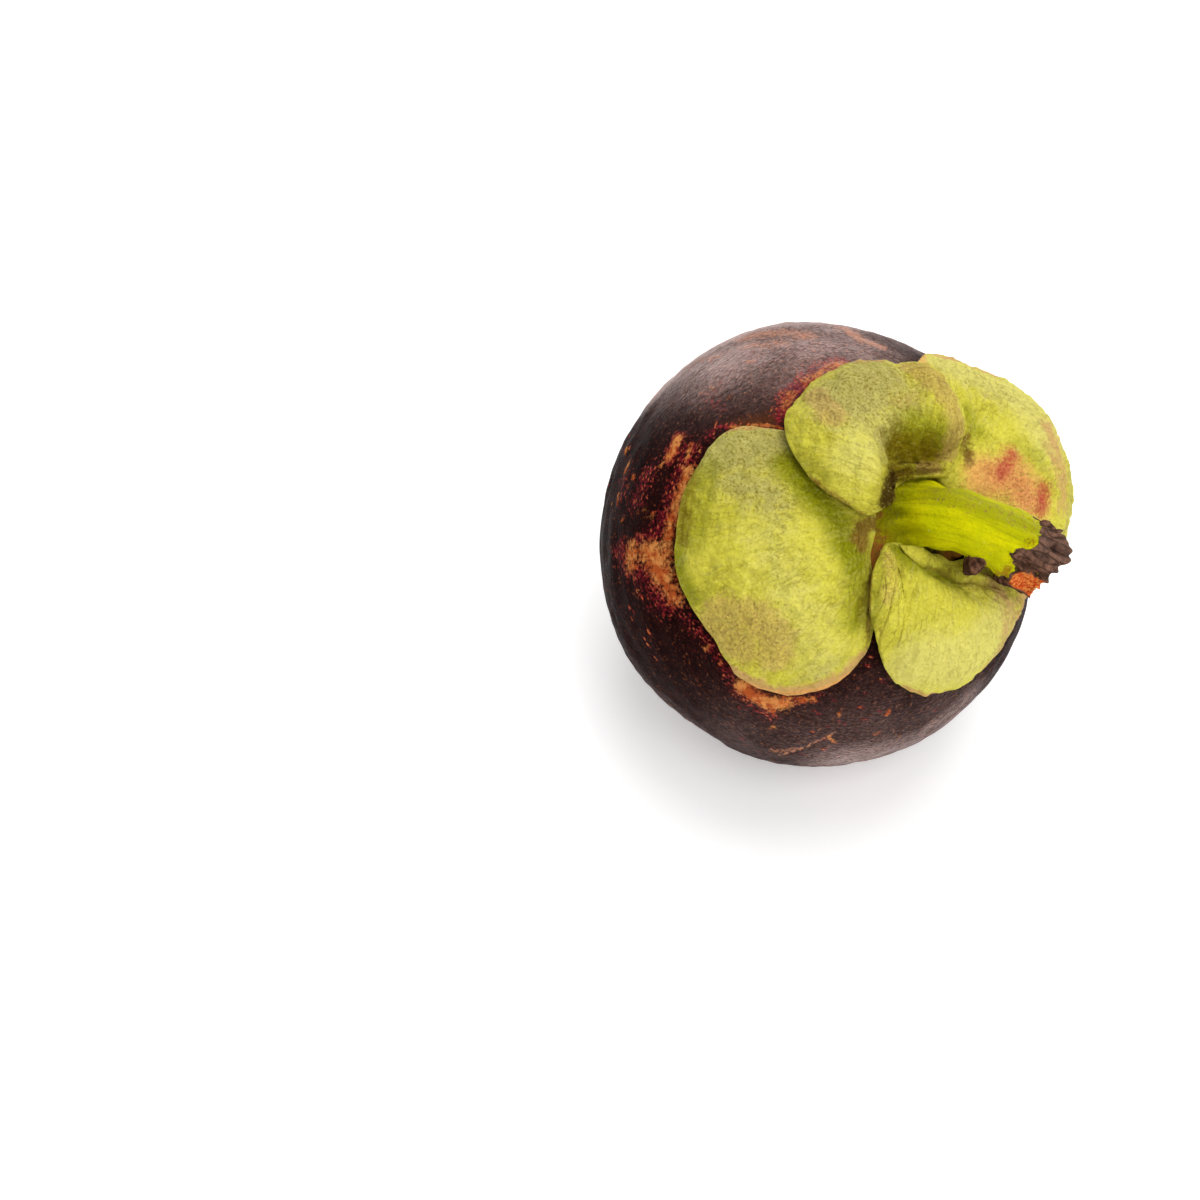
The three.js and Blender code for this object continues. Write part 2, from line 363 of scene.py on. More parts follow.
# Marks on the rind: strength, spread and the line that each follows.
rindMarks = dict(
    orange=[
        (1.0, 1.1, [(-33.4, 3), (-34, 0), (-34.6, -4), (-35.2, -8), (-35.2, -11)]),
        (1.2, 2.2, [(-38, -11), (-36.5, -12.5), (-35.3, -14.5)]),
        (1.0, 1.6, [(-41.5, -10.5), (-41.2, -13.5)]), (1.0, 1.5, [(-34.8, -15), (-32.6, -18.5)]),
        (1.3, 0.8, [(-35.8, 9.4), (-36.2, 7.5), (-36.8, 5.7)]), (1.0, 0.45, [(-47.5, 12.5), (-47.7, 11)]),
        (1.1, 0.5, [(-45.7, 7.5), (-46.5, 5.5)]), (1.0, 0.45, [(-43.6, 3.6), (-43.4, 3)]),
        (0.9, 0.4, [(-44.5, 2), (-44.6, 1.6)]), (0.9, 0.4, [(-47.4, 0.9), (-46.9, -1.3)]),
        (0.9, 0.4, [(-33.6, 7.9), (-33.9, 5.3)]), (0.9, 0.35, [(-37.8, 4.7), (-38.4, 4.2)]),
        (0.8, 0.5, [(-38.4, -4.7)]), (0.8, 0.4, [(-39.7, -3.5)]), (0.9, 0.5, [(-44.7, -5)]),
        (0.8, 0.4, [(-49.1, -0.8)]), (0.8, 0.4, [(-41.2, -3.8)]),
        (1.3, 1.3, [(-18.6, -30.6), (-16, -31.9), (-13.3, -32.6), (-11, -31.8)]), (0.9, 0.9, [(-12, -33.8)]),
        (0.9, 0.6, [(-9, -31), (-7, -30.3)]), (0.9, 0.5, [(-25.9, -25.9)]), (0.8, 0.4, [(-23.1, -27.8)]),
        (0.8, 1.3, [(-11, 23.6), (-13.8, 21.6), (-16.4, 19.6)]), (0.7, 0.9, [(-19, 17.2), (-20, 14.5)]),
        (0.9, 0.35, [(1.4, -37.6), (-0.8, -36.6)]), (0.9, 0.35, [(-1.6, -31.9)]),
        (1.0, 0.4, [(6.7, -29.5), (6.6, -30.4)]), (0.8, 0.6, [(7.6, -34.1)]), (0.8, 0.6, [(13.2, -34.2)]),
        (0.7, 0.7, [(-10.4, -37)]), (0.8, 0.4, [(-14.3, 26.8)]), (0.8, 0.4, [(-32.1, 18.5)]),
        (0.7, 0.4, [(-30.6, 19.1)]), (0.8, 0.5, [(-29.3, 28.7), (-30.5, 28.2)]), (0.8, 0.4, [(-32.1, 29.6)]),
        (0.9, 0.5, [(-24.5, 24.2)]), (0.8, 0.4, [(-28, 16.4)]), (0.8, 1.0, [(-41.4, 30.5), (-43, 27)]),
        (0.9, 0.35, [(-27.8, 10.6), (-26, 10.3), (-24.3, 11), (-22.3, 11), (-20.7, 10.6)]),
    ],
    crimson=[
        (1.0, 2.2, [(-33.6, 7), (-34.6, 2), (-35.6, -4), (-37.5, -8), (-40, -9)]),
        (1.0, 3.2, [(-44, -11), (-41, -14), (-37, -15.5), (-33.5, -19.5)]),
        (1.9, 1.2, [(-35.8, 9.6), (-36.8, 5.4)]), (0.8, 2.6, [(-40, 4), (-42, -2)]),
        (0.7, 2.5, [(-46, 6), (-46, 0)]), (0.9, 1.1, [(-31, 8.9), (-29.5, 10.8), (-27.8, 10.8)]),
        (0.6, 1.8, [(-29.5, 14.5), (-31.5, 17.5)]), (1.7, 2.0, [(-11, 24), (-14.8, 21.4), (-18.6, 17.4)]),
        (1.4, 1.6, [(-20, 16), (-20.6, 12.5)]), (0.8, 1.3, [(-28.5, -22.5), (-25, -26), (-21, -29.6)]),
        (0.7, 1.5, [(-31.5, -20.5), (-28, -24)]), (0.9, 1.9, [(-20, -30.5), (-16.5, -33), (-12, -34.6)]),
        (0.8, 1.2, [(-9.5, -31.5), (-6.6, -30)]),
    ],
    brown=[
        (1.0, 1.1, [(-27, 11), (-24, 11.8), (-21.4, 12.4)]),
    ],
    # Bloom: a real waxy bloom, and along the top and lower right limbs also a painted sheen, a paler colour
    # standing in for reflected light.
    bloomAndSheen=[
        (1.7, 6, [(-44, 31), (-34, 36), (-22, 40), (-8, 42), (6, 41)]),
        (1.0, 8.5, [(-31, 25), (-22, 26), (-8, 30)]), (0.7, 6, [(6, -43), (18, -38), (28, -30)]),
        (0.6, 3.4, [(19, -34), (25, -25)]), (0.16, 10, [(-14, -42), (0, -38), (16, -28)]),
    ],
    dapple=[
        (0.9, 3.2, [(-24, 33.5), (-18, 33.2), (-14.5, 31.5)]), (0.8, 2.2, [(-25, 29.5), (-18.6, 28.6)]),
        (1.0, 2.0, [(-6.4, 37.4), (-5.3, 32.5), (-2.1, 30.2)]), (0.6, 4, [(-36, 31), (-30, 30)]),
        (1.2, 0.35, scratchLine),
        (0.8, 1, [(-7, -43.4), (-3.4, -41.4)]), (0.4, 4, [(10, -34), (18, -31)]),
        (0.5, 5, [(20, 33), (30, 26)]), (0.5, 5, [(0, -52), (22, -44)]), (0.5, 6, [(30, 40), (-10, 60)]),
    ],
)


# The pale bloom and frost colours are partly a real waxy bloom and partly a painted sheen.
rindColours = dict(
    plum=(20, 6, 7), plumLight=(38, 13, 13), plumWarm=(36, 13, 11), fibres=(70, 30, 26), grain=(64, 28, 25),
    rust=(150, 72, 44), bloomAndSheen=(178, 134, 122), frostAndSheen=(190, 142, 122), dapple=(198, 132, 98),
    brown=(92, 50, 26), crimsonDark=(90, 12, 28), crimson=(156, 34, 48), speckle=(206, 104, 66),
    orange=(194, 92, 42), orangeLight=(230, 150, 80), orangeRed=(150, 50, 36),
)


# Plum skin, and over it bloom that is partly a painted sheen, dapples, crimson with specks and orange
# patches, each with a broken edge.
def rindFinish():
    finish = Finish("mangosteenRind", rindColours, Specular_IOR_Level=0.01,
                    Specular_Tint=(1, 0.6, 0.55, 1), Sheen_Roughness=0.45, Sheen_Tint=(1, 0.86, 0.84, 1))
    where = finish.inMillimetres()
    flow = finish.mark("flow", "Vector")  # millimetres round the stem axis, six times those along the skin
    broad = finish.noise(where, 9, 3)
    mottle = finish.noise(where, 1.5, 5, 0.65)
    grain = finish.noise(where, 0.5, 4, 0.7)
    fine = finish.noise(where, 0.2, 2)
    stria = finish.noise(finish.stretched(flow, (0.7, 0.7, 0.2)), 0.45, 4, 0.65)
    ripple = finish.noise(finish.stretched(flow, (1, 1, 0.4)), 1.1, 4, 0.6)
    streak = finish.stretched(flow, (1, 1, 0.34))
    fleck = finish.cells(streak, 2.6)
    dust = finish.cells(streak, 0.9)

    purple = finish.mix(finish.step(mottle, 0.35, 0.68), "plum", "plumLight")
    purple = finish.mix(finish.step(broad, 0.4, 0.65, 0, 0.45), purple, "plumWarm")
    purple = finish.mix(finish.step(stria, 0.5, 0.7, 0, 0.5), purple, "fibres")
    purple = finish.mix(finish.step(grain, 0.56, 0.72, 0, 0.4), purple, "grain")
    rust = finish.times(finish.step(dust, 0.13, 0.07), finish.step(mottle, 0.5, 0.66))
    purple = finish.mix(finish.times(rust, 0.75), purple, "rust")
    # Pale bloom, with paler frosty grain in it: real bloom on the far side, painted sheen along the top and
    # lower right limbs.
    dustAndSheen = finish.times(finish.mark("bloomAndSheen"), finish.step(broad, 0.3, 0.65, 0.45, 1))
    dustAndSheen = finish.times(dustAndSheen, finish.step(stria, 0.3, 0.65, 0.35, 1))
    purple = finish.mix(finish.times(dustAndSheen, 0.75), purple, "bloomAndSheen")
    frostAndSheen = finish.times(finish.mark("bloomAndSheen"), finish.step(grain, 0.52, 0.66, 0, 0.7), True)
    purple = finish.mix(frostAndSheen, purple, "frostAndSheen")
    purple = finish.mix(finish.broken("dapple", grain, 2.2, 0.45, 1.1, 0.9), purple, "dapple")
    purple = finish.mix(finish.times(finish.mark("brown"), 0.8), purple, "brown")

    lonely = finish.times(finish.step(fleck, 0.3, 0.1), finish.step(broad, 0.5, 0.58))
    lonely = finish.times(lonely, finish.step(grain, 0.42, 0.5))
    red = finish.mix(finish.step(grain, 0.4, 0.62), "crimsonDark", "crimson")
    redSpots, tanSpots = finish.step(lonely, 0.05, 0.6, 0, 0.7), finish.step(lonely, 0.7, 0.9, 0, 0.8)
    crimson = finish.maths("MAXIMUM", finish.broken("crimson", grain, 3.4, 0.4, 1.5), redSpots)
    skin = finish.mix(finish.times(crimson, 0.92), purple, red)
    speckle = finish.times(finish.step(dust, 0.34, 0.2), finish.broken("crimson", grain, 1.6, 0.5, 0.8))
    skin = finish.mix(finish.times(speckle, 0.8), skin, "speckle")
    tan = finish.mix(finish.step(mottle, 0.4, 0.6), "orange", "orangeLight")
    tan = finish.mix(finish.step(grain, 0.5, 0.36, 0, 0.6), tan, "orangeRed")
    orange = finish.maths("MAXIMUM", finish.broken("orange", grain, 2.6, 0.15, 1.15), tanSpots)
    skin = finish.mix(orange, skin, tan)

    rough = finish.maths("ADD", finish.step(mottle, 0.3, 0.7, 0.36, 0.46), finish.times(orange, 0.25))
    normal = finish.bump(ripple, 0.45)
    normal = finish.bump(stria, 0.15, normal)
    normal = finish.bump(grain, 0.32, normal)
    normal = finish.bump(fine, 0.03, normal)
    sheen = finish.times(dustAndSheen, 1.4, True)
    return finish.wear(Base_Color=skin, Roughness=rough, Normal=normal, Sheen_Weight=sheen)


# The skin at even polar steps. Its relief is fine ripples that run round the stem axis, less small dents,
# plus the height of the orange patches, less the scratch. What lies under the table is lifted to it: the
# flat spot.
def addRind():
    polar = np.linspace(0, pi, rind["rows"])[:, None]
    azimuth = np.linspace(0, 2 * pi, rind["columns"], endpoint=False)[None, :]
    radius = rind["radius"]
    x, y = radius * polar * np.cos(azimuth), radius * polar * np.sin(azimuth)
    direction = directionAt(x, y)
    points = skinPoint(direction)
    flow = np.concatenate([radius * direction[..., :2], 6 * np.hypot(x, y)[..., None]], -1)
    marks = {name: strokes(x, y, listed) for name, listed in rindMarks.items()}
    farSide = smoothstep(np.hypot(x + 12, y - 6), rind["dustyFrom"], rind["dustyBy"])
    farSide = farSide * (rind["dustAndSheen"] + 0.2 * waves(points, 26, 5))
    marks["bloomAndSheen"] = np.maximum(marks["bloomAndSheen"], farSide)
    relief = (0.05 * waves(flow, 16, 1) * np.sin(polar) + 0.04 * waves(points, 3, 3)
              - 0.1 * smoothstep(waves(points, 5, 2), 1.1, 2.2) + 0.12 * marks["orange"])
    relief = relief - 0.15 * bell(fromLine(x, y, scratchLine), 0.3)
    points = points + direction * relief[..., None]
    heading, tilt = radians(lie["heading"]), radians(lie["tilt"])
    up = np.array([-np.sin(tilt) * np.cos(heading), -np.sin(tilt) * np.sin(heading), np.cos(tilt)])
    height = points @ up + lie["height"]
    points = points + up * (np.maximum(height, rind["clearance"]) - height)[..., None]
    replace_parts(closedGrid("rindSkin", points, {**marks, "flow": flow}, rindFinish()), "rind")


addRind()


# outline: how far the sepal reaches from its middle towards 0, 30 ... 330 degrees.
# corners: bearing, extra reach and width in degrees. rag: how ragged the rim is. bumps: x, y, height, spread.
# basins: depth, half the floor's width, half the whole width, line along the floor; the deepest one counts.
# folds: height, half width and line. wrinkled and the marks after it: strength, spread and line.
# The darker green, olive and darkest brown marks below lie in valleys, hollows, along turned-down rims and
# under the stem: painted shade; the green and olive are partly the sepals' own colour.
sepals = dict(
    sepal_inner_left=dict(
        middle=(-17, -8), thickness=1.8, rise=1.4, puff=3,
        outline=[11, 13, 15, 16.8, 19, 17.8, 16.6, 16.4, 16.8, 21.2, 21.5, 15.3],
        corners=[(320, 0.9, 14), (123, 1.0, 12), (174, -0.4, 14)], rag=0.0045,
        bumps=[(-8, -5, -1.2, 4), (-23, -9, 0.5, 6), (-11, -20, 0.6, 5)],
        basins=[(0.5, 0.2, 2.6, [(-16, 0.5), (-12.5, -3), (-9.5, -7)])],
        folds=[(0.35, 0.5, [(-20, 8.6), (-24, 9)]), (-0.35, 0.3, [(-5.5, -9), (-5.4, -12), (-4.8, -16)])],
        wrinkled=[(0.8, 2.5, [(-9.5, -4), (-8, -8), (-7.5, -13)]), (0.5, 3, [(-32, -3), (-32, -10)])],
        cream=[(0.62, 6, [(-21, -7), (-15, -16), (-10, -22)])],
        pale=[(0.95, 6, [(-28, 5), (-21, 7)]), (0.8, 4.5, [(-26, 0.5), (-21, -2)]),
              (0.5, 2.5, [(-12, -26), (-7, -23)])],
        green=[(1.2, 2.6, [(-19.5, 3.5), (-16.6, -0.1), (-14.2, -2.2), (-12.3, -4), (-10.6, -7.2),
                           (-9, -9.5)]),
               (0.8, 2.6, [(-8.6, -10), (-7.8, -13), (-7.2, -17)]),
               (0.9, 2, [(-32.6, -11), (-31.2, -14.8), (-29, -17)]),
               (0.6, 2.6, [(-29.6, 3), (-30.2, -3), (-30, -9)])],
        oliveShade=[(0.85, 2.0, [(-32.2, 2), (-32.4, -2.6), (-32, -8.6)]),
               (0.7, 1.3, [(-6.6, -12), (-6.2, -16.5)])],
        brown=[(0.95, 3.4, [(-24.5, -18.6), (-20, -18.4), (-16.8, -20.4), (-16, -23)]),
               (0.95, 3.2, [(-25.5, -20.5), (-20, -23.5)]), (0.5, 2.2, [(-16.3, -27)])],
        stain=[(0.75, 0.9, [(-5.4, -13), (-4.2, -18), (-3, -22)]),
               (1.0, 2.0, [(-5.5, -2.5), (-7, -2.9), (-8.8, -4.2), (-8.2, -6.2)]),
               (0.75, 0.9, [(-8, -2), (-12.6, -0.3), (-16, 2.4)]),
               (0.8, 0.8, [(-6, -8.5), (-5.8, -12), (-4.6, -18)])],
        tan=[(1.1, 1.9, [(-22, -27.6), (-14.4, -29.4), (-9, -28), (-5.5, -25.5), (-3.2, -22)]),
             (0.6, 1.6, [(-29, -20), (-24, -26)]), (0.9, 0.5, [(-28, 8.6), (-24, 9.2), (-19.5, 9.4)])],
        blush=[(1.2, 0.8, [(-18, -29.2), (-14, -29.6), (-10, -28.6), (-6.5, -27), (-4.2, -24.6)])],
        red=[], paintedShade=[],
    ),
    sepal_inner_right=dict(
        middle=(16, 10), thickness=1.8, rise=1.2, puff=3,
        outline=[16.5, 15, 16.5, 20, 21.5, 19, 14, 13, 10.5, 12, 17.5, 18.2],
        corners=[], rag=0.004,
        bumps=[(9, 0, -1.5, 5), (29, 13, 4, 12), (24, 25, 3, 9)],
        basins=[], folds=[],
        wrinkled=[(0.5, 5, [(10, 22), (20, 20)])],
        cream=[(1.1, 5, [(5, 27), (12, 26), (19, 22), (22, 16)])],
        pale=[(0.5, 4.5, [(5, 25), (12, 24), (19, 21)]), (0.6, 2.4, [(27, 12), (28.5, 6), (28, 2)])],
        green=[(0.8, 2.2, [(8, 17), (9, 14)]), (0.5, 2, [(16, 13), (20, 12)])],
        oliveShade=[(0.6, 1.5, [(8, 15.5), (8.2, 12)])],
        brown=[(0.5, 1.8, [(22, 9), (24, 11)])], stain=[(0.85, 1.8, [(7.2, 12.4), (8.2, 9.4)])],
        tan=[(0.8, 1.3, [(4, 28.4), (11, 29.2), (18, 27.2)]),
             (0.75, 2.5, [(22.2, 17.5), (23.6, 12), (25.2, 7)])],
        blush=[(1.2, 3.6, [(10.4, 7.6), (12, 7.8), (15, 8.4), (18, 6)]),
               (0.8, 2.6, [(15, 11), (19, 8), (21, 5)]), (0.9, 1.1, [(2.5, 25.5), (3.5, 27.5)]),
               (0.5, 1.0, [(25, 17), (27, 14)])],
        red=[(1.2, 1.7, [(15, 11.2), (13.4, 8.4)]), (1.25, 1.7, [(20.6, 7.6), (20.6, 5.4)]),
             (0.65, 3.2, [(12.6, 8), (18.6, 6)])],
        paintedShade=[(0.75, 1.7, [(7.2, 12.6), (8.2, 9.4)])],
    ),
    sepal_outer_top=dict(
        middle=(-5.5, 9.5), thickness=2.2, rise=4.2, puff=4,
        outline=[10.5, 11.8, 13, 13, 13, 13.4, 14.8, 14, 12.6, 10, 8, 10],
        corners=[(254, 1.1, 10)], rag=0.003,
        bumps=[(1.5, 4.5, -2.4, 4), (-11.5, 1, 0.8, 4)],
        basins=[(4.4, 1.0, 3.2, [(-7.4, -1), (-7.5, 4.5)]), (4.2, 1.5, 3.6, [(-4, -1), (-3.4, 5)]),
                (4.0, 0.8, 6.2, [(-5.6, 6), (-1.5, 6.6), (2.4, 6.6)])],
        folds=[(-0.5, 0.35, [(-5.6, 4.4), (-4, 5.7), (-1.7, 6.7), (0.7, 6.8), (3.2, 7)]),
               (0.45, 0.5, [(-4.4, 4.6), (-2.6, 5.6), (0.5, 5.9), (3.0, 6.3)]),
               (-0.3, 0.3, [(-5.5, 6.2), (-3, 7.8), (0, 8.2)])],
        wrinkled=[(1.1, 2.4, [(-4, 6.5), (-1, 8), (2.6, 8)]), (0.35, 4, [(-12, 2), (-8, 0)]),
                  (0.6, 3, [(-10, 20), (-2, 20)]), (0.5, 2.2, [(0, 17), (3.4, 11)])],
        cream=[(0.8, 4, [(-12, 4), (-9, 12)])],
        pale=[(0.95, 6, [(-13, 12), (-8, 17)]), (0.7, 4, [(-9, 8), (-4, 15)])],
        green=[(0.5, 1.5, [(-18, 4), (-15, 1.5)]), (1.0, 3.0, [(-4, 10.8), (1, 10.2)])],
        oliveShade=[(1.1, 3.2, [(-5.4, 9), (-4, 9), (-1, 9.2), (1, 8.4)]),
               (1.15, 2.1, [(-6.6, 0), (-5.8, 5), (-2, 6.5)])],
        brown=[(1.2, 1.8, [(-15.8, 13), (-14.6, 9)]),
               (1.1, 1.8, [(-2.5, 19), (0.3, 15.5), (2.2, 12.5), (3.4, 9.6)]),
               (0.5, 2.0, [(-7, 13), (-3, 15)]), (0.7, 1.4, [(0, 8), (2.4, 7.2)])],
        stain=[(0.8, 0.7, [(-16.5, 1.4), (-12.5, -1.4), (-9, -2.9), (-6.5, -2.6)])],
        tan=[(0.8, 1.8, [(-17, 18.4), (-11, 21), (-4, 21.4)]), (0.5, 1.0, [(-2, 21.5), (3, 17), (5.8, 11)])],
        blush=[], red=[],
        paintedShade=[(1.2, 1.6, [(-7, 0), (-6.6, 3), (-5, 5)]), (0.7, 0.8, [(-4, 5.4), (-1, 6.4), (1.6, 6.6)])],
    ),
    sepal_outer_bottom=dict(
        middle=(7, -12), thickness=2.2, rise=3.8, puff=4,
        outline=[13.2, 14.5, 9, 6.5, 9.5, 12.5, 13.1, 12.2, 12.2, 13, 13, 13.2],
        corners=[(172, 0.5, 20), (18, 1.9, 26)], rag=0.004,
        bumps=[(6, -5, -4, 5), (14, -5, -2.5, 4)],
        basins=[(1.5, 0.3, 1.9, [(-2.2, -5.8), (-1.2, -7.2), (0.8, -8.6), (3.9, -9.3), (8, -9.7)])],
        folds=[(0.6, 0.6, [(-2.2, -4.8), (-0.6, -6.4), (1.2, -7.2), (4.5, -7.4)]),
               (-0.3, 0.3, [(5, -8.3), (9, -8.8), (14, -8.4)]),
               (0.3, 0.4, [(6, -7.2), (10, -7.8), (15, -7.4)])],
        wrinkled=[(0.9, 1.8, [(-4, -8), (-4.2, -13), (-2, -18)]), (1.0, 2.2, [(3, -8), (9, -8.5), (15, -8)])],
        cream=[(1.1, 5, [(15, -13), (10, -18), (4, -20)])],
        pale=[(0.25, 5, [(8, -19), (3, -21)])],
        green=[(0.6, 1.2, [(-5.6, -8), (-5.6, -12), (-4.8, -16)]), (0.25, 2.4, [(-2, -8), (-2.6, -12)]),
               (1.1, 1.6, [(-3, -7), (-0.8, -8.6), (2, -9.2), (7, -9.4)])],
        oliveShade=[(0.4, 1.1, [(-2.4, -5.8), (-0.6, -8), (1.5, -9.2), (4, -9.5)])],
        brown=[(0.6, 1.6, [(-4.8, -8), (-4.2, -13)]), (0.4, 1.8, [(7, -9), (13, -9.5)]),
               (0.6, 2, [(18, -11), (16, -18)])],
        stain=[(0.8, 0.5, [(-6.4, -7), (-6.6, -11), (-5.8, -16)]),
               (0.3, 1.3, [(0.6, -7), (6, -7.6), (11, -7.2)])],
        tan=[(0.95, 3.4, [(20.6, -6), (20.8, -13), (19, -18)]),
             (0.7, 2.6, [(13, -7.6), (16, -10.6), (17.4, -15)]),
             (0.8, 0.7, [(14, -22.4), (9.4, -24), (5, -24)])],
        blush=[(0.7, 0.6, [(9.8, -24.2), (6, -24.4)])], red=[],
        paintedShade=[(0.4, 1.0, [(2, -6), (5, -5.8), (9, -5.8), (13, -5.6)])],
    ),
)
innerSepals = [sepals["sepal_inner_left"], sepals["sepal_inner_right"]]

stem = dict(
    path=[(1.5, 0, 23.4), (0, -0.5, 33), (7, -2, 33.5), (16.7, -3.4, 29.8)],
    footRadius=4.6, footClearance=1.25, skirt=4.6, waist=3.9, endRadius=4.5,
    bud=dict(t=0.63, angle=-1.8, height=2.3, long=0.07, wide=0.46),
    barkFrom=0.83,
    teeth=[(0.55, 3, 1), (0.4, 7, 0), (0.16, 13, 2)],  # height, count and turn of the waves of the torn end
    rows=(4, 50, 130, 22), columns=208,  # rows of the start, the foot, the rest and the end
)


# Smooth periodic curve through the outline's twelve values (Catmull-Rom), plus a bell for each corner.
def outlineReach(sepal, angle):
    values = np.array(sepal["outline"], float)
    place = angle / (2 * pi) * 12 % 12
    first = np.floor(place).astype(int)
    t = place - first
    before, here, following, after = (values[(first + i) % 12] for i in (-1, 0, 1, 2))
    slopeHere, slopeNext = (following - before) / 2, (after - here) / 2
    curve = 3 * (following - here) - 2 * slopeHere - slopeNext
    twist = slopeHere + slopeNext - 2 * (following - here)
    reach = here + t * (slopeHere + t * (curve + t * twist))
    for bearing, extra, width in sepal["corners"]:
        reach = reach + extra * bell(turnFrom(angle, radians(bearing)), radians(width))
    return reach


# 0 in the sepal's middle, 1 along its outline.
def rimwardAt(sepal, x, y):
    dx, dy = x - sepal["middle"][0], y - sepal["middle"][1]
    return np.hypot(dx, dy) / outlineReach(sepal, np.arctan2(dy, dx))


# rise (1 - rimward^puff) plus the bumps and less the basins, kept positive with a soft turn.
def swelling(sepal, x, y):
    height = sepal["rise"] * (1 - rimwardAt(sepal, x, y) ** sepal["puff"])
    for bumpX, bumpY, rise, spread in sepal["bumps"]:
        height = height + rise * bell(np.hypot(x - bumpX, y - bumpY), spread)
    hollow = 0 * height
    for depth, floor, whole, line in sepal["basins"]:
        hollow = np.maximum(hollow, depth * (1 - smoothstep(fromLine(x, y, line), floor, whole)))
    height = height - hollow
    return (height + np.hypot(height, 0.4)) / 2


# Middle of the sepal's thickness above the skin. The outer pair also lies over the inner pair.
def sepalMiddle(sepal, x, y):
    height = skinGap + sepal["thickness"] / 2 + swelling(sepal, x, y)
    if sepal not in innerSepals:
        for inner in innerSepals:
            cover = 1 - smoothstep(rimwardAt(inner, x, y), 1, 1.25)
            height = height + cover * (skinGap + inner["thickness"] + swelling(inner, x, y))
    direction = directionAt(x, y)
    return skinPoint(direction) + skinNormal(direction) * height[..., None]


# Places near the stem's foot move outwards: r' = (r⁴ + hole⁴)^¼.
def clearOfStem(x, y):
    footX, footY = stem["path"][0][:2]
    hole = stem["footRadius"] + stem["footClearance"]
    away = np.hypot(x - footX, y - footY) + 1e-9
    opened = (away ** 4 + hole ** 4) ** 0.25 / away
    return footX + (x - footX) * opened, footY + (y - footY) * opened


# Among these, the dark green, olive, darkest brown and crease colours are painted shade; the green and olive
# are partly the sepals' own colour.
sepalColours = dict(
    leaf=(244, 234, 84), leafDeep=(228, 219, 72), cream=(250, 240, 130), pale=(204, 193, 114),
    green=(156, 158, 8), veinDark=(158, 150, 36), veinLight=(244, 236, 146), cloud=(232, 222, 116),
    oliveShade=(130, 112, 4), stain=(142, 92, 40), tan=(228, 176, 116), blush=(255, 184, 108), red=(204, 52, 66),
    paintedShade=(66, 44, 14), grain=(192, 178, 112), grainLight=(240, 230, 136), line=(140, 118, 40),
    dots=(154, 100, 56), brown=(230, 188, 112), crease=(120, 86, 30),
)


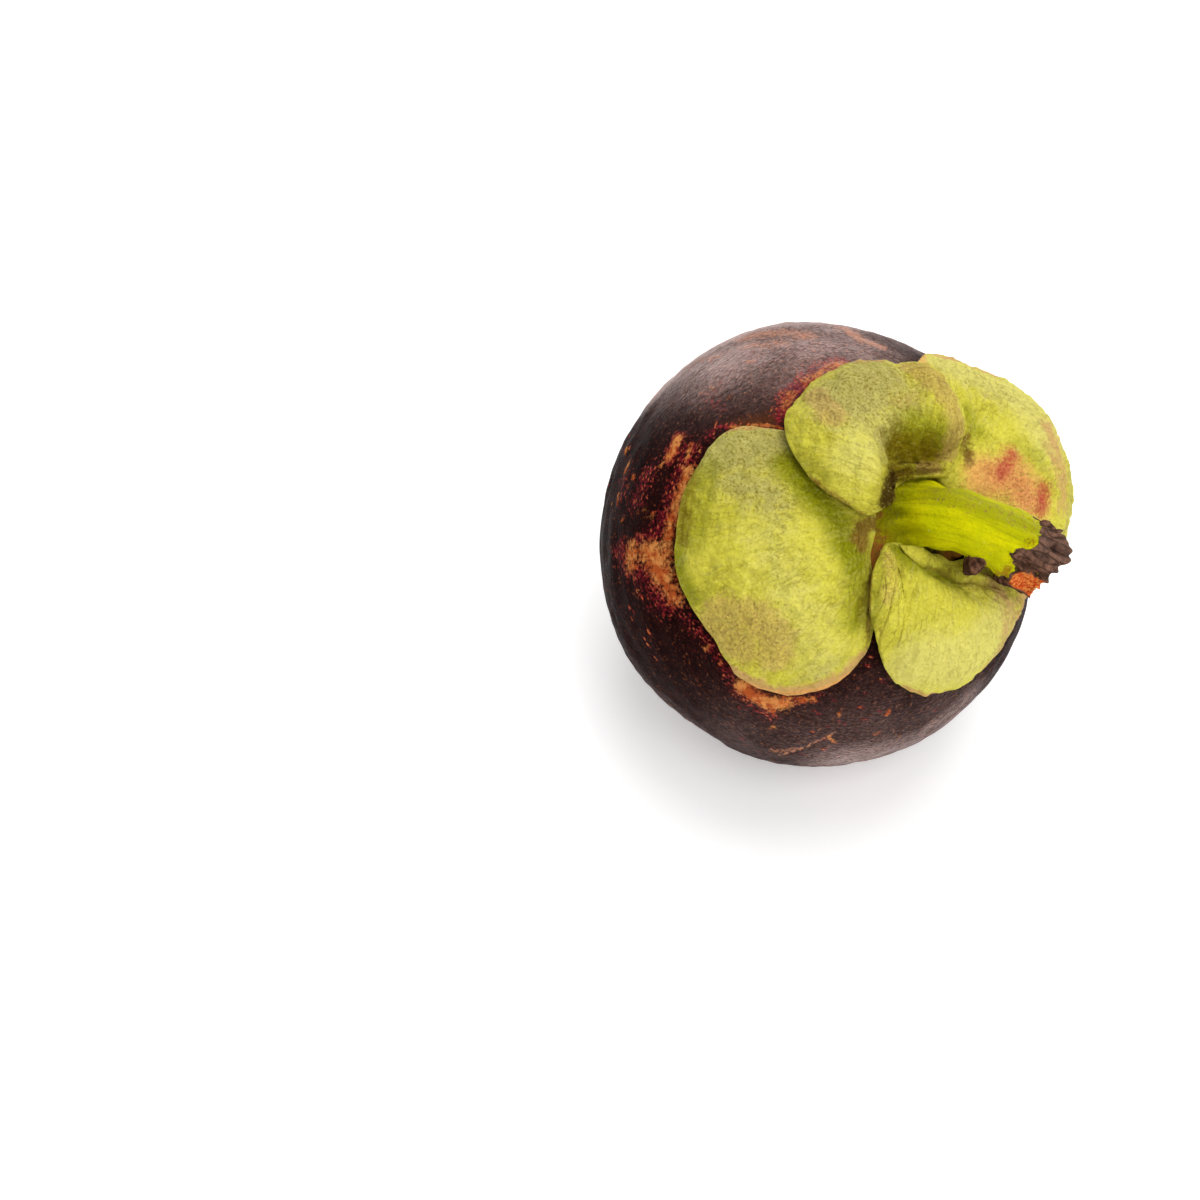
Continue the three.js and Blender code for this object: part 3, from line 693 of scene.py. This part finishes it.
# Yellow-green skin with a layer for each mark, and over them grain, fine winding lines and dots.
def sepalFinish():
    finish = Finish("sepalSkin", sepalColours, Specular_IOR_Level=0.05, Specular_Tint=(1, 0.95, 0.6, 1))
    where = finish.inMillimetres()
    sheet = finish.mark("sheet", "Vector")  # millimetres across and along the veins
    broad = finish.noise(where, 5, 3)
    mottle = finish.noise(where, 1.5, 5, 0.65)
    grain = finish.noise(where, 0.4, 4, 0.72)
    fine = finish.noise(where, 0.16, 2)
    vein = finish.noise(finish.stretched(sheet, (1, 0.14, 1)), 0.5, 4, 0.6)
    pebble = finish.cells(where, 0.5)
    thread = finish.noise(finish.stretched(sheet, (1, 0.25, 1)), 0.8, 3)
    line = finish.maths("ABSOLUTE", finish.maths("SUBTRACT", thread, 0.5))  # 0 along fine winding lines

    skin = finish.mix(finish.step(broad, 0.34, 0.7), "leaf", "leafDeep")
    skin = finish.mix(finish.broken("cream", mottle, 0.8, 0.2, 1.0, 0.85), skin, "cream")
    skin = finish.mix(finish.broken("pale", mottle, 0.9, 0.25, 0.95, 0.9), skin, "pale")
    # Darker green in valleys, hollows and along rims: painted shade, partly the sepals' own darker green.
    skin = finish.mix(finish.broken("green", mottle, 0.8, 0.1, 1.1, 0.95), skin, "green")
    skin = finish.mix(finish.step(vein, 0.5, 0.72, 0, 0.25), skin, "veinDark")
    skin = finish.mix(finish.step(vein, 0.5, 0.3, 0, 0.2), skin, "veinLight")
    skin = finish.mix(finish.step(mottle, 0.56, 0.76, 0, 0.3), skin, "cloud")
    # Olive in hollows, under the stem and along turned-down rims: painted shade, partly the sepals' own
    # darker colour.
    skin = finish.mix(finish.broken("oliveShade", mottle, 0.8, 0.3, 1.1, 0.95), skin, "oliveShade")
    skin = finish.mix(finish.broken("stain", mottle, 1.4, 0.4, 0.95, 0.8), skin, "stain")
    skin = finish.mix(finish.broken("tan", mottle, 1.2, 0.3, 0.9, 0.85), skin, "tan")
    skin = finish.mix(finish.broken("blush", grain, 1.3, 0.2, 1.15, 0.9), skin, "blush")
    skin = finish.mix(finish.broken("red", grain, 1.6, 0.1, 1.5, 0.85), skin, "red")
    # Darkest brown on the shaded wall of the hollow, along its fold and under the stem: painted shade.
    skin = finish.mix(finish.broken("paintedShade", grain, 0.9, 0.4, 1.1, 0.9), skin, "paintedShade")

    # Fine dark grain all over, stronger where it is pale, and coarser browner dots where it is marked brown.
    strength = finish.step(finish.mark("pale"), 0.2, 0.9, 0.28, 0.85)
    dull = finish.times(finish.step(grain, 0.48, 0.64), strength)
    skin = finish.mix(dull, skin, "grain", "MULTIPLY")
    skin = finish.mix(finish.step(grain, 0.46, 0.3, 0, 0.3), skin, "grainLight")
    lined = finish.times(finish.step(line, 0.045, 0), finish.step(broad, 0.4, 0.65, 0, 0.35))
    skin = finish.mix(lined, skin, "line")
    dots = finish.times(finish.broken("brown", grain, 3.4, 0.4, 1.0), finish.step(pebble, 0.42, 0.2, 0.3, 1))
    skin = finish.mix(finish.times(dots, 0.65), skin, "dots")
    skin = finish.mix(finish.broken("brown", mottle, 0.9, 0.35, 0.75, 0.45), skin, "brown")
    # Darker brown along the wrinkles and sunken folds: painted shade in the creases.
    skin = finish.mix(finish.times(finish.mark("crease"), 0.5), skin, "crease")

    normal = finish.bump(vein, 0.1)
    normal = finish.bump(finish.step(line, 0, 0.08), 0.07, normal)
    normal = finish.bump(mottle, 0.35, normal)
    normal = finish.bump(grain, 0.65, normal)
    coarse = finish.times(pebble, finish.maths("ADD", finish.mark("brown"), 0.3))
    normal = finish.bump(coarse, 0.3, normal)
    normal = finish.bump(fine, 0.03, normal)
    return finish.wear(Base_Color=skin, Roughness=finish.step(mottle, 0.3, 0.7, 0.5, 0.68), Normal=normal)


sepalGrid = dict(top=170, under=40, columns=320)
swells = [(0.09, 5, 11), (0.07, 2.2, 12), (0.04, 1.1, 13)]  # height, size and seed of a sepal's soft waves


# Ball stretched to the outline: rows go from the middle of its upper side over the rim to the middle of its
# under side. Thickness goes as the root of the ball's height, so the rim is blunt. The upper side has relief:
# soft waves and folds, less wrinkles.
def addSepal(name, sepal, material):
    top, under = np.linspace(0, pi / 2, sepalGrid["top"]), np.linspace(pi / 2, pi, sepalGrid["under"])
    down = np.concatenate([top, under[1:]])[:, None]
    angle = np.linspace(0, 2 * pi, sepalGrid["columns"], endpoint=False)[None, :]
    share = np.sin(down) + 0 * angle
    edge = np.stack([np.cos(angle), np.sin(angle)], -1)
    rag = waves(edge, 0.7, len(name)) + 0.6 * waves(edge, 0.22, len(name) + 1)
    reach = share * outlineReach(sepal, angle) * (1 + sepal["rag"] * rag * share ** 4)
    x, y = clearOfStem(sepal["middle"][0] + reach * np.cos(angle), sepal["middle"][1] + reach * np.sin(angle))
    step = 1e-3
    middle = sepalMiddle(sepal, x, y)
    outward = np.cross(sepalMiddle(sepal, x + step, y) - middle, sepalMiddle(sepal, x, y + step) - middle)
    outward /= np.linalg.norm(outward, axis=-1, keepdims=True)
    side = np.sign(np.cos(down)) * np.sqrt(np.abs(np.cos(down))) + 0 * angle
    topSide = smoothstep(side, 0, 0.6)
    around, out = np.arctan2(y, x), np.hypot(x, y)
    sheet = np.stack([14 * np.cos(around), out, 14 * np.sin(around)], -1)
    marked = ("cream", "pale", "green", "oliveShade", "brown", "stain", "tan", "blush", "red", "paintedShade")
    marks = {mark: strokes(x, y, sepal[mark]) for mark in marked}
    # The crease lines also carry a darker colour: painted shade in the creases.
    crease = wrinkles(x, y, sepal["wrinkled"], 1.5, len(name) + 40)
    relief = sum(height * waves(middle, size, seed) for height, size, seed in swells) - 0.2 * crease
    for height, width, line in sepal["folds"]:
        along = bell(fromLine(x, y, line), width)
        relief = relief + height * along
        crease = np.maximum(crease, along * (height < 0))
    points = middle + outward * (side * sepal["thickness"] / 2 + relief * topSide)[..., None]
    marks.update(crease=crease * topSide, sheet=sheet)
    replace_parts(closedGrid(name + "Skin", points, marks, material), name)


sepalMaterial = sepalFinish()
for name, sepal in sepals.items():
    addSepal(name, sepal, sepalMaterial)


# The darkest colour here is a painted shadow under the stem.
stemColours = dict(
    green=(192, 192, 5), greenLight=(210, 204, 7), fibre=(162, 158, 4), shade=(152, 152, 14),
    brownish=(150, 108, 66), root=(150, 138, 14), rootBrown=(126, 88, 34), rootRust=(176, 96, 44),
    paintedShadow=(44, 24, 12), grain=(190, 184, 90), specks=(226, 220, 150), lumpy=(150, 104, 24),
    bark=(68, 42, 32), barkLight=(140, 98, 76), barkFibre=(52, 34, 28), barkGrey=(112, 98, 94),
    crack=(34, 20, 14), pulp=(196, 62, 26), pulpLight=(226, 138, 66),
)


# Green skin, browner round the foot, with bark and pulp at the torn end.
def stemFinish():
    finish = Finish("stemSkin", stemColours, Specular_IOR_Level=0.04, Specular_Tint=(1, 1, 0.3, 1))
    where = finish.inMillimetres()
    grow = finish.mark("grow", "Vector")  # millimetres round and along the stem
    broad = finish.noise(where, 4, 3)
    mottle = finish.noise(where, 1.2, 5, 0.65)
    fibre = finish.noise(finish.stretched(grow, (1, 0.1, 1)), 0.4, 4, 0.6)
    grain = finish.noise(where, 0.4, 4, 0.7)
    fine = finish.noise(where, 0.16, 2)
    crack = finish.cells(finish.stretched(grow, (1, 0.3, 1)), 0.9, "DISTANCE_TO_EDGE")
    specks = finish.cells(where, 1.4)

    skin = finish.mix(finish.step(broad, 0.36, 0.64), "green", "greenLight")
    skin = finish.mix(finish.step(fibre, 0.48, 0.74, 0, 0.3), skin, "fibre")
    skin = finish.mix(finish.broken("shade", fibre, 1.6, 0.0, 1.05, 0.85), skin, "shade")
    shaded = finish.broken("shade", mottle, 2.0, 0.5, 1.0, 0.8)
    brownish = finish.times(finish.step(grain, 0.52, 0.66), shaded)
    skin = finish.mix(brownish, skin, "brownish")
    skin = finish.mix(finish.broken("root", mottle, 1.3, 0.35, 0.9, 0.9), skin, "root")
    skin = finish.mix(finish.broken("root", mottle, 2.4, 0.9, 1.4, 0.85), skin, "rootBrown")
    skin = finish.mix(finish.broken("root", grain, 3.4, 1.1, 1.7, 0.7), skin, "rootRust")
    # Near-black under the stem next to its foot: a painted shadow.
    skin = finish.mix(finish.broken("paintedShadow", mottle, 0.6, 0.2, 0.9, 0.95), skin, "paintedShadow")
    skin = finish.mix(finish.step(grain, 0.5, 0.7, 0, 0.35), skin, "grain", "MULTIPLY")
    skin = finish.mix(finish.step(specks, 0.09, 0.05, 0, 0.7), skin, "specks")
    skin = finish.mix(finish.broken("lumpy", grain, 2.6, 0.5, 1.1, 0.8), skin, "lumpy")

    bark = finish.mix(finish.step(mottle, 0.35, 0.65), "bark", "barkLight")
    bark = finish.mix(finish.step(fibre, 0.5, 0.7, 0, 0.6), bark, "barkFibre")
    # Greyer bark along the top: partly grey plates, partly a painted highlight.
    bark = finish.mix(finish.times(finish.mark("grey"), 0.3), bark, "barkGrey")
    bark = finish.mix(finish.step(crack, 0.14, 0.02, 0, 0.5), bark, "crack")
    barkMask = finish.broken("bark", mottle, 2.4, 0.45, 0.65)
    skin = finish.mix(barkMask, skin, bark)
    pulp = finish.mix(finish.step(grain, 0.4, 0.6), "pulp", "pulpLight")
    skin = finish.mix(finish.broken("pulp", mottle, 1.0, 0.4, 0.6), skin, pulp)

    normal = finish.bump(fibre, 0.15)
    normal = finish.bump(mottle, 0.3, normal)
    normal = finish.bump(finish.times(finish.step(crack, 0, 0.15), barkMask), 0.15, normal)
    normal = finish.bump(grain, 0.25, normal)
    normal = finish.bump(fine, 0.03, normal)
    rough = finish.maths("ADD", finish.step(mottle, 0.3, 0.7, 0.38, 0.52), finish.times(barkMask, 0.35))
    return finish.wear(Base_Color=skin, Roughness=rough, Normal=normal)


# Cubic Bezier curve and its unit tangent.
def stemCurve(t):
    a, b, c, d = (np.array(place, float) for place in stem["path"])
    s = 1 - t
    place = s ** 3 * a + 3 * s * s * t * b + 3 * s * t * t * c + t ** 3 * d
    tangent = s * s * (b - a) + 2 * s * t * (c - b) + t * t * (d - c)
    return place, tangent / np.linalg.norm(tangent, axis=-1, keepdims=True)


# Tube along the curve: the radius is a waist plus a flared foot, a root skirt, a thicker end, one bud, ribs
# and the bark's plates. The first and last rows close the ends, the end is torn, and no row sinks into the
# rind.
def addStem():
    start, foot, rest, end = stem["rows"]
    footAlong, restAlong = np.linspace(0, 0.35, foot) ** 2, np.linspace(0.13, 1, rest)
    t = np.concatenate([np.zeros(start), footAlong, restAlong, np.ones(end)])[:, None]
    share = np.concatenate([np.linspace(0, 1, start), np.ones(foot + rest), np.linspace(1, 0, end)])[:, None]
    angle = np.linspace(0, 2 * pi, stem["columns"], endpoint=False)[None, :]
    bud = stem["bud"]
    ring = np.stack(np.broadcast_arrays(4.2 * np.cos(angle), 24 * t, 4.2 * np.sin(angle)), -1)
    fromBud = turnFrom(angle, bud["angle"])
    budHere = np.clip(1 - ((t - bud["t"]) / bud["long"]) ** 2 - (fromBud / bud["wide"]) ** 2, 0, 1) ** 0.55
    skirt = stem["skirt"] * (1 + 0.12 * waves(ring * (1, 0, 1), 4, 27)) * np.exp(-t / 0.028)
    radius = (stem["waist"] + (stem["footRadius"] - stem["waist"]) * np.exp(-t / 0.1) + skirt
              + (stem["endRadius"] - stem["waist"]) * smoothstep(t, 0.6, 0.95) + bud["height"] * budHere)
    place, tangent = stemCurve(t[..., None])
    tip = stem["path"][3]
    sideways = np.array([-tip[1], tip[0], 0.0])
    sideways /= np.linalg.norm(sideways)
    upward = np.cross(tangent, sideways)
    upward /= np.linalg.norm(upward, axis=-1, keepdims=True)
    barkFrom = stem["barkFrom"] + 0.015 * waves(ring * (1, 0, 1), 3, 26)
    barked = smoothstep(t - barkFrom + 0.1 * bell(turnFrom(angle, 5.55), 0.75), 0, 0.04)
    lumpy = smoothstep(t, 0.7, 0.8) * (1 - barked)
    rib = (0.09 * waves(ring * (1, 0.15, 1), 2.2, 21) + 0.12 * waves(ring, 6, 22)
           + lumpy * 0.12 * waves(ring, 1.8, 28) + 0.6 * np.exp(-t / 0.13) * waves(ring * (1, 0.1, 1), 2, 29))
    plates = barked * (0.1 + 0.24 * waves(ring * (1, 0.35, 1), 1.1, 23) + 0.18 * waves(ring, 4, 24))
    rough = budHere * 0.16 * waves(ring, 1.5, 30)
    radius = (radius + rib + plates + rough) * share
    atEnd = smoothstep(t, 0.93, 1)
    torn = atEnd * (sum(height * np.sin(count * angle + turn) for height, count, turn in stem["teeth"]) - 0.5)
    hollowEnd = (t > 0.999) * (1 - share ** 2) * 1.1
    torn = torn * share ** 2 - hollowEnd + barked * 0.2 * waves(ring, 1.2, 25) * share
    points = (place + tangent * torn[..., None] + upward * (np.cos(angle) * radius)[..., None]
              + sideways * (np.sin(angle) * radius)[..., None])
    reach = np.linalg.norm(points, axis=-1)
    skin = skinReach(points / reach[..., None]) + 1.5 * skinGap
    points = points * (np.maximum(reach, skin) / reach)[..., None]
    marks = dict(
        bark=barked + 1.5 * smoothstep(budHere, 0.02, 0.25),
        # Greyer along the top of the bark: partly grey plates, partly a painted highlight.
        grey=bell(turnFrom(angle, 0.2), 0.8) * barked,
        lumpy=lumpy * (0.45 + 0.8 * bell(turnFrom(angle, 5.1), 1.0)),
        pulp=1.1 * smoothstep(t, 0.8, 0.84) * bell(turnFrom(angle, 5.1), 0.3),
        root=1.1 * bell(t, 0.05) + 0.5 * bell(t, 0.14) * bell(turnFrom(angle, 4.6), 1.6),
        # A painted shadow under the stem next to its foot.
        paintedShadow=bell(t, 0.14) * bell(turnFrom(angle, 4.1), 0.5),
        shade=bell(turnFrom(angle, 0.45), 0.62) * smoothstep(t, 0.1, 0.3) + 0.9 * bell(t - 0.06, 0.1),
        grow=ring,
    )
    marks = {name: values + 0 * angle if values.ndim == 2 else values for name, values in marks.items()}
    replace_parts(closedGrid("stemWood", points, marks, stemFinish()), "stem")


addStem()


stigma = dict(lobes=7, radius=6.5, thickness=1.4, rows=60, columns=168)


stigmaColours = dict(
    wood=(58, 38, 28), woodLight=(104, 74, 54), woodPale=(146, 112, 84),
)


# Brown wood with fine paler specks.
def stigmaFinish():
    finish = Finish("stigmaWood", stigmaColours, Roughness=0.8, Specular_IOR_Level=0.3)
    where = finish.inMillimetres()
    mottle = finish.noise(where, 0.9, 5, 0.65)
    fine = finish.noise(where, 0.25, 3, 0.6)
    wood = finish.mix(finish.step(mottle, 0.35, 0.65), "wood", "woodLight")
    wood = finish.mix(finish.step(fine, 0.58, 0.7, 0, 0.6), wood, "woodPale")
    normal = finish.bump(fine, 0.06, finish.bump(mottle, 0.25))
    return finish.wear(Base_Color=wood, Normal=normal)


# Thin round plate on the far end: the edge goes in and out once for each lobe, and grooves part the lobes.
def addStigma():
    down = np.linspace(0, pi, stigma["rows"])[:, None]
    angle = np.linspace(0, 2 * pi, stigma["columns"], endpoint=False)[None, :]
    between = np.abs(np.cos(stigma["lobes"] * angle / 2))
    lobe = 0.76 + 0.24 * between ** 0.7
    reach = np.sin(down) * stigma["radius"] * lobe
    direction = directionAt(reach * np.cos(angle), reach * np.sin(angle)) * (1, 1, -1)
    side = -np.sign(np.cos(down)) * np.sqrt(np.abs(np.cos(down))) + 0 * angle
    groove = bell(between, 0.3) * smoothstep(reach, 1.2, 3.5) + 0.6 * bell(reach, 1.2)
    height = skinGap + stigma["thickness"] / 2 * (1 + side) - 0.45 * groove * smoothstep(side, 0, 0.7)
    points = skinPoint(direction) + skinNormal(direction) * height[..., None]
    points = points + direction * (0.06 * waves(points, 1.4, 31) * smoothstep(side, 0, 0.5))[..., None]
    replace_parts(closedGrid("stigmaLobes", points, {}, stigmaFinish()), "stigma_rosette")


addStigma()
